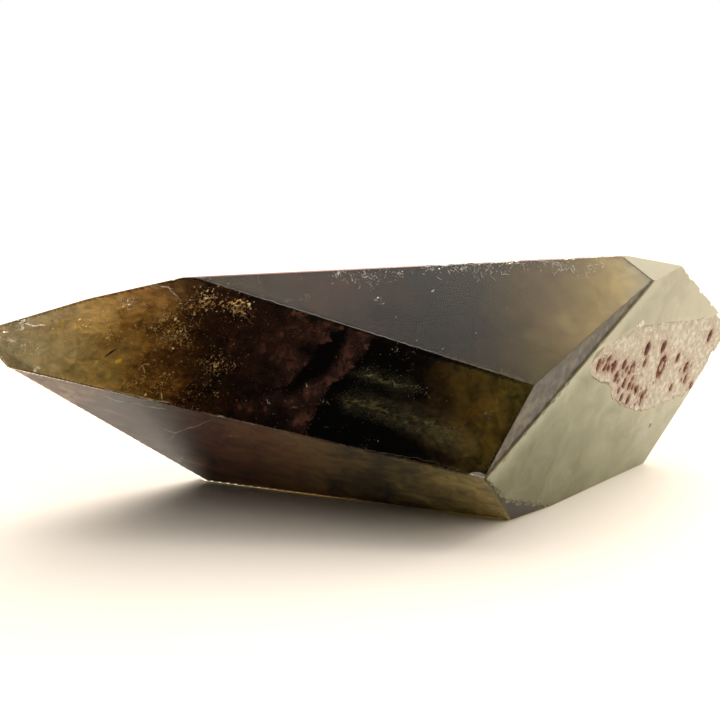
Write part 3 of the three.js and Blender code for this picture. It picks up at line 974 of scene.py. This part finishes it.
def front_clouds():
    """Sheets under the front facet: golden at the point, then red, black and olive."""
    span = (-42, 0)
    far = haze_material("haze_far", span, [
        (0.0, 255, 238, 198), (0.2, 254, 216, 142), (0.33, 196, 150, 88), (0.46, 104, 76, 48),
        (0.58, 70, 48, 34), (0.72, 38, 22, 17), (0.86, 34, 18, 15), (1.0, 30, 16, 13),
    ], 3.4, wander=0.14, dense=(1, 1), stretch=(1, 1, 1.6), through=0.97, speck=0.42)
    night = haze_material("haze_night", (-5, 16), [
        (0.0, 16, 12, 7), (0.24, 30, 22, 12), (0.36, 90, 68, 42), (0.48, 180, 146, 92),
        (0.62, 222, 206, 140), (0.8, 226, 212, 140), (1.0, 200, 190, 120),
    ], 3.4, wander=0.14, through=0.5, speck=0.6)
    gold = haze_material("haze_gold", span, [
        (0.0, 250, 236, 200), (0.2, 250, 212, 140), (0.4, 224, 170, 96), (0.6, 184, 130, 74),
        (0.8, 110, 70, 46),
    ], 2.0, wander=0.3, dense=(0, 0.68), through=0.97, speck=0.65)
    red = haze_material("haze_red", span, [
        (0.4, 88, 56, 40), (0.64, 108, 68, 56), (0.78, 184, 132, 114), (1.0, 180, 130, 114),
    ], 2.6, dense=(0.3, 1), through=0.5, speck=0.6)
    veil = haze_material("haze_veil", (-4, 14), [
        (0.2, 226, 220, 160), (0.5, 255, 250, 196), (0.8, 240, 214, 150),
    ], 1.2, wander=0.3, dense=(0.2, 0.85), stretch=(1, 1, 2.2), through=0.4, speck=0.6)
    olive = haze_material("haze_olive", (4, 16), [
        (0.0, 150, 112, 62), (0.5, 226, 180, 100), (1.0, 226, 200, 130),
    ], 3.0, wander=0.3, dense=(0.25, 0.8), through=0.5, speck=0.4)

    # The number after an outline is the sheet's depth.
    haze("cloud_tip_far", "front", TIP_CLOUD, 4.0, far, step=1.5, fade=1,
         sharp=range(len(TIP_CLOUD)), weave=thinning, relief=0.5)
    haze("cloud_dark_far", "front", DARK_CLOUD, 4.0, night, fade=1, relief=0.5)
    haze("cloud_gold_near", "front", GOLD_CLOUD, 1.3, gold, fade=10,
         sharp=(*range(7), *range(12, 19)), weave=streaks(26, -0.4, 0.4, lean=-20, stretch=1.6))
    haze("cloud_red_near", "front", RED_CLOUD, 1.6, red, fade=14, sharp=range(11),
         weave=streaks(30, -0.9, 0.3, seed=2.0, lean=50, stretch=1.8))
    haze("cloud_red_band", "front", RED_BAND, 1.4, red, fade=8, sharp=range(6),
         weave=streaks(24, -0.9, 0.3, seed=3.0, lean=-60, stretch=1.8))
    haze("veil_low", "front", VEIL, 1.2, veil, step=1, fade=16,
         weave=streaks(12, -1.3, 0.7, seed=4.0, lean=27, stretch=3.0))
    haze("veil_high", "front", VEIL_TOP, 1.2, veil, step=1, fade=14,
         weave=streaks(10, -0.9, 1.0, seed=8.0, lean=20, stretch=2.4))
    haze("veil_olive", "front", OLIVE_VEIL, 2.6, olive, step=1.6, fade=14,
         weave=streaks(30, -0.9, 0.6, seed=6.0, lean=-40, stretch=2.0))


def other_clouds():
    """Sheets under the lower front facet and under the top."""
    mauve = haze_material("haze_mauve", (-40, 12), [
        (0.0, 204, 164, 130), (0.12, 120, 80, 56), (0.2, 82, 48, 34), (0.28, 74, 42, 29),
        (0.385, 122, 74, 52), (0.5, 150, 108, 70), (0.63, 160, 132, 78), (0.72, 96, 78, 46),
        (0.84, 180, 158, 88), (1.0, 228, 206, 120),
    ], 3.4, wander=0.24, stretch=(0.8, 1, 1.1), through=0.2)
    tan = haze_material("haze_tan", (0, 30), [
        (0.0, 30, 27, 16), (0.3, 46, 42, 20), (0.49, 116, 96, 44), (0.65, 168, 148, 96),
        (0.75, 208, 186, 122), (0.86, 238, 218, 156), (1.0, 255, 250, 216),
    ], 6.0, wander=0.12, dense=(0.92, 1), through=0.2, speck=0.2)
    # A dim grey sheet that darkens the top along its lower edge: painted shade.
    painted_top_shade = haze_material("haze_painted_shade", (0, 30), [(0.0, 40, 38, 34), (1.0, 60, 56, 44)], 7.0,
                         dense=(0.3, 0.6), through=0.2)
    smoke = haze_material("haze_smoke", (-26, 2), [
        (0.0, 150, 142, 132), (0.5, 150, 138, 128), (0.8, 140, 108, 96), (1.0, 120, 108, 96),
    ], 3.0, wander=0.3, dense=(0.15, 0.6), through=0.3, speck=0.3)
    blush = haze_material("haze_blush", (-10, 4), [
        (0.0, 150, 96, 84), (0.6, 140, 88, 72), (1.0, 130, 96, 70),
    ], 2.4, wander=0.3, dense=(0.1, 0.7), through=0.3, speck=0.4)

    haze("cloud_lower", "lower_front", LOWER_CLOUD, 0.35, mauve, step=1, fade=1, relief=0,
         clear=0.015)
    haze("cloud_top", "top", TOP_CLOUD, 0.3, tan, step=1, fade=36, sharp=range(1, 6), relief=0.1)
    haze("painted_shade_top", "top", TOP_SHADE_OUTLINE, 1.0, painted_top_shade, fade=22)
    haze("cloud_top_left", "top", TOP_LEFT_CLOUD, 0.6, smoke, fade=26, sharp=(0, 1, 2, 6, 7, 8))
    haze("cloud_top_red", "top", TOP_RED_CLOUD, 0.5, blush, fade=14, sharp=(4, 5),
         weave=streaks(22, -0.7, 0.5, seed=9.0, lean=70, stretch=1.8))


def glints():
    """Splinters, threads and cracks, and the grains in the ledge of the end face."""
    # The size of each one's mottling, its colours, its roughness and how metallic it is.
    gold = mottled("glint_gold", 1.0, [(0.35, 214, 176, 100), (0.65, 255, 240, 190)], 0.3, 0.9)
    yellow = mottled("yellow", 0.6, [(0.3, 250, 210, 40), (0.7, 255, 240, 120)], 0.35, 0.8)
    pale = mottled("glint_pale", 0.6, [(0.3, 226, 222, 206), (0.7, 255, 253, 244)], 0.3, 0.9)
    rust = mottled("glint_red", 0.6, [(0.3, 84, 48, 38), (0.7, 150, 104, 84)], 0.4)
    rosy = mottled("glint_rosy", 0.6, [(0.3, 150, 104, 84), (0.7, 236, 206, 190)], 0.4)
    dark = mottled("needle_dark", 0.6, [(0.3, 20, 14, 8), (0.7, 44, 34, 20)], 0.5)
    chalk = haze_material("chalk", (-42, 42), [(0.0, 255, 252, 240), (1.0, 246, 242, 230)],
                          0.8, wander=0.1, through=0.4, speck=0.15)

    # The numbers are the seeds of the random draws.
    flakes("flakes_gold", "front", GOLD_FLAKES, gold, 11)
    flakes("spots_yellow", "front", YELLOW_SPOTS, yellow, 12)
    flakes("flakes_pale", "front", PALE_FLAKES, pale, 13)
    flakes("flakes_red", "front", RED_FLAKES, rust, 14)
    flakes("flakes_lower", "lower_front", LOWER_FLAKES, rosy, 19)
    flakes("flakes_top", "top", TOP_FLAKES, pale, 15)
    flakes("spots_top", "top", TOP_SPOTS, chalk, 34)
    strands("strokes_gold", "front", strokes(GOLD_STROKES, 21), gold, 22, STRAND_TILT)
    strands("strokes_pale", "front", strokes(PALE_STROKES, 23), pale, 24, STRAND_TILT)
    strands("strokes_top", "top", strokes(TOP_STROKES, 25), chalk, 26)
    strands("cracks_front", "front", CRACKS, pale, 16, STRAND_TILT)
    strands("cracks_lower", "lower_front", LOWER_CRACKS, chalk, 17)
    strands("edge_top", "top", TOP_EDGE, chalk, 35)
    strands("dash", "front", DARK_DASH, dark, 18)
    flakes("grains_ledge", "end", LEDGE_GRAINS, chalk, 31, False)
    flakes("speck_dark", "lower_front", DARK_SPECKS, dark, 33)


# The pitted skin on the end face.

SKIN_CELL = 0.12
SKIN_LIFT = 0.05
SKIN_ROOT = 0.12
SKIN_RELIEF = 0.03
SKIN_CLEAR = 0.06  # how far the crust keeps from the facets beside the end
SKIN_SPAN = ((0, 38), (3, 23))  # along and up the end face, from its lower front corner
PLATE_STEP = 0.25  # how far the end face stands out over the chamfer
RAY_START, RAY_REACH = 1.0, 4.0  # rays that feel for the solid, from outside it inwards
# The floor of the sunken patch: how deep it lies at a height up the end face, and by how many
# degrees it comes out below.
FLOOR_DEPTH, FLOOR_HEIGHT, FLOOR_SLANT = 0.55, 21.0, 2.4
SUNK = (0.03, 1.5)  # how deep the patch's surface lies, least and most
PIT_EDGE = 0.2  # how deep in a pit its colour is full
IN_PIT = 0.1  # the share of full colour from which a place counts as in a pit
SMALL_PIT, SMALL_SHADE = 0.1, 0.9  # how deep and how dark the small pits are
SMALL_FROM, SMALL_RISE, SMALL_FLAT = 0.3, 0.15, 0.8  # their noise, and how flat they are
CROWD_REACH, CROWD_GAIN = 14, 4  # cells round the pits that have small pits too
STAIN_REACH, STAIN_STRENGTH = 5, 2.2  # cells
RAGGED_REACH, RAGGED_SHARE = 4, 0.4  # cells


def skin_material():
    material, tree = new_material("skin_pitted")
    depth = add(tree, "ShaderNodeAttribute", attribute_name="pit").outputs["Fac"]
    stained = add(tree, "ShaderNodeAttribute", attribute_name="stain").outputs["Fac"]
    clouds = noise_node(tree, 0.7, detail=8, distortion=0.3)
    stains = noise_node(tree, 0.5, detail=5, distortion=0.8)
    plain = ramp(tree, clouds, (0.3, 166, 158, 144), (0.5, 184, 176, 160), (0.7, 216, 213, 199))
    pit = ramp(tree, stains, (0.3, 70, 30, 26), (0.55, 128, 66, 52), (0.8, 186, 120, 96))
    rusty = mixed(tree, times(tree, stained, stains), plain, linear(150, 84, 68))
    shader = add(tree, "ShaderNodeBsdfPrincipled", {
        "Base Color": mixed(tree, depth, rusty, pit), "Roughness": 0.65,
        "Normal": fine_relief(0.6, 0.3)(tree),
    })
    return finish_material(material, shader)


def end_frame():
    """The lower front corner of the end face, and the ways along it, up it and out of it."""
    out, _ = PLANE["end"]
    corner = meet("end", "base", "bruise")
    along = np.cross([0, 0, 1.0], out)
    along = along / np.linalg.norm(along)
    return corner, along, np.cross(out, along), out


def blurred(grid, reach):
    """A grid with each value spread over the cells around it."""
    spread = grid
    for axis in (0, 1):
        spread = sum(np.roll(spread, k, axis) for k in range(-reach, reach + 1)) / (2 * reach + 1)
    return spread


def sunk_depths(plane, out):
    """How deep the solid's surface lies under points of the end face's plane, or less than
    nothing where it has none there."""
    bm = welded_solid()
    tree = BVHTree.FromBMesh(bm)
    bm.free()
    depths = np.full(plane.shape[:2], -1.0)
    for i, j in np.ndindex(depths.shape):
        start = Vector((plane[i, j] + out * RAY_START) * MM)
        hit = tree.ray_cast(start, Vector(-out), RAY_REACH * MM)
        if hit[0] is not None:
            depths[i, j] = hit[3] / MM - RAY_START
    return depths


def small_pits(u, v, pit):
    """Small pits between the larger ones, 0 to 1."""
    crowd = np.clip(blurred(pit, CROWD_REACH) * CROWD_GAIN, 0, 1)
    spots = grain(np.stack([u, v * SMALL_FLAT], -1), size=0.5, octaves=3, seed=21.0)
    small = np.clip((spots - SMALL_FROM) / SMALL_RISE, 0, 1)
    return small * crowd * (pit < IN_PIT)


def pitted_skin():
    """A rough crust over the sunken patch of the end face, down into its pits."""
    corner, along, up, out = end_frame()
    u, v = np.meshgrid(*[np.arange(start, stop, SKIN_CELL) for start, stop in SKIN_SPAN])
    face = np.stack([u, v], -1)
    plane = corner + u[..., None] * along + v[..., None] * up
    sunk = sunk_depths(plane, out)
    least, most = SUNK
    slope = math.tan(math.radians(FLOOR_SLANT))
    floor_level = np.clip(FLOOR_DEPTH - (FLOOR_HEIGHT - v) * slope, 0, 1)
    pit = np.clip((sunk - floor_level - least) / PIT_EDGE, 0, 1)

    facings = [PLANE[n] for n in ("upper_end", "top", "bruise")]
    facings.append((PLANE["chamfer"][0], PLANE["chamfer"][1] + PLATE_STEP))
    clear = np.min([distance - plane @ normal for normal, distance in facings], axis=0)
    ragged = 0.5 + RAGGED_SHARE * grain(face, size=1.2, octaves=5, seed=3.0)
    inside = (blurred(sunk > least, RAGGED_REACH) > ragged) & (clear > SKIN_CLEAR)
    inside &= (sunk > -0.1) & (sunk < most)
    keep = at_corners(inside).all(0)

    small = small_pits(u, v, pit)
    lift = SKIN_LIFT + SKIN_RELIEF * grain(face, size=0.5, seed=8.0) - SMALL_PIT * small
    pit = np.maximum(pit, SMALL_SHADE * small)
    top = plane - out * (sunk - lift)[..., None]
    bottom = plane - out * (sunk + SKIN_ROOT)[..., None]
    points, faces = thick_cells(keep, top, bottom)
    mesh = mesh_of("pitted_skin", points, faces, True)
    store(mesh, "pit", pit, keep)
    store(mesh, "stain", np.clip(STAIN_STRENGTH * blurred(pit, STAIN_REACH), 0, 1), keep)
    return show("pitted_skin", mesh, SKIN, skin_material())


# The room.

FLOOR_HALF, FLOOR_DROP = 6.0, 0.0001  # metres
# What the light is multiplied by along each axis of the way it comes from: the span, and the
# least and most.
SHADES = [("Z", 0.38, 0.95, 0.4, 4.4), ("Y", -0.26, 0.35, 0.1, 1.0), ("X", -0.7, 0.4, 0.2, 1.2)]
# Soft bright patches of the room: the way to each, the cosines where it starts and is full,
# and how bright it is.
PATCHES = [((0.7, -0.35, 0.62), 0.88, 1.0, 3.6), ((0.5, 0.75, 0.42), 0.7, 1.0, 4.0)]
WARM_BELOW, WARM_ABOVE, WHITE = (1.0, 0.86, 0.7, 1), (1.0, 0.92, 0.82, 1), (1, 1, 1, 1)


def floor():
    a = FLOOR_HALF
    mesh = bpy.data.meshes.new("floor")
    mesh.from_pydata([(-a, -a, 0), (a, -a, 0), (a, a, 0), (-a, a, 0)], [], [(0, 1, 2, 3)])
    material, tree = new_material("floor")
    shader = add(tree, "ShaderNodeBsdfPrincipled", {
        "Base Color": (0.85, 0.83, 0.80, 1), "Roughness": 0.8, "Specular IOR Level": 0.1,
    })
    mesh.materials.append(finish_material(material, shader))
    piece = place_in_scene("floor", mesh)
    piece.location.z = -FLOOR_DROP


def room_light():
    """White all round for the camera. The crystal sees a bright sky over and behind it, dimmer
    light from the camera's side, and soft brighter patches high on the right and lower behind."""
    world = bpy.data.worlds.new("room")
    bpy.context.scene.world = world
    world.use_nodes = True
    tree = world.node_tree
    tree.nodes.clear()
    way = add(tree, "ShaderNodeTexCoord").outputs["Generated"]
    axes = add(tree, "ShaderNodeSeparateXYZ", {"Vector": way}).outputs
    smooth = {"interpolation_type": "SMOOTHSTEP"}
    sky, side, flank = [mapped(tree, axes[axis], *span, **smooth) for axis, *span in SHADES]
    level = times(tree, times(tree, sky, side), flank)
    for middle, start, full, bright in PATCHES:
        facing = add(tree, "ShaderNodeVectorMath", {0: way, 1: middle},
                     operation="DOT_PRODUCT").outputs["Value"]
        level = plus(tree, level, mapped(tree, facing, start, full, 0, bright, **smooth))
    seen = add(tree, "ShaderNodeLightPath").outputs["Is Camera Ray"]
    shown = add(tree, "ShaderNodeMix", {"Factor": seen, "A": level, "B": 1.0}).outputs[0]
    warmth = mixed(tree, axes["Z"], WARM_BELOW, WARM_ABOVE)
    background = add(tree, "ShaderNodeBackground", {
        "Color": mixed(tree, seen, warmth, WHITE), "Strength": shown})
    out = add(tree, "ShaderNodeOutputWorld")
    tree.links.new(background.outputs[0], out.inputs["Surface"])


def camera():
    data = bpy.data.cameras.new("camera")
    data.sensor_width = SENSOR
    data.lens = FOCAL_PIXELS * SENSOR / PHOTO_SIDE
    piece = place_in_scene("camera", data)
    piece.location = Vector(CAMERA_PLACE) * MM
    piece.rotation_euler = (math.radians(90 - CAMERA_DOWN), 0, 0)
    data.clip_start = CLIP_START
    bpy.context.scene.camera = piece


outside()
zones()
front_clouds()
other_clouds()
glints()
pitted_skin()
floor()
room_light()
camera()
bpy.context.scene.view_settings.view_transform = "Standard"
